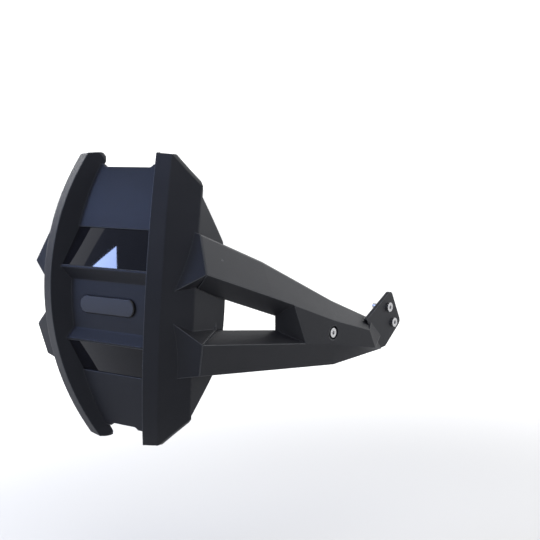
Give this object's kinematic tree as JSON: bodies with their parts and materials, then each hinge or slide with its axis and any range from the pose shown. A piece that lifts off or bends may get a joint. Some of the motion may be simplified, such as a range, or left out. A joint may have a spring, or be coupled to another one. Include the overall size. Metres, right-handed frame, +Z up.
{
  "type": "motorcycle rear hugger mudguard",
  "caption": "Tyre-hugging rear mudguard: a faceted black shield with gloss window inserts, carried on a forked side arm whose flange bolts to the swingarm's end.",
  "frame": {"origin": "midway between the axes of the two flange bolts, on the brace's back face, which seats on the swingarm's end", "axes": "+X to the bike's right, out from the wheel; +Y ahead, the way the bike drives; +Z up"},
  "size_m": [0.263, 0.3739, 0.3024],
  "materials": {
    "shell": "fine-textured matte black moulding",
    "gloss_insert": "high-gloss black",
    "badge": "satin black",
    "brace": "black powder coat",
    "fastener": "stainless"
  },
  "bodies": {
    "root": {"shield": "shell", "arm": "shell", "upper_insert": "gloss_insert", "lower_insert": "gloss_insert", "badge": "badge", "brace": "brace", "flange_bolts": "fastener", "arm_bolt": "fastener", "arm_nut": "fastener", "joint_screws": "fastener"}
  },
  "joints": []
}
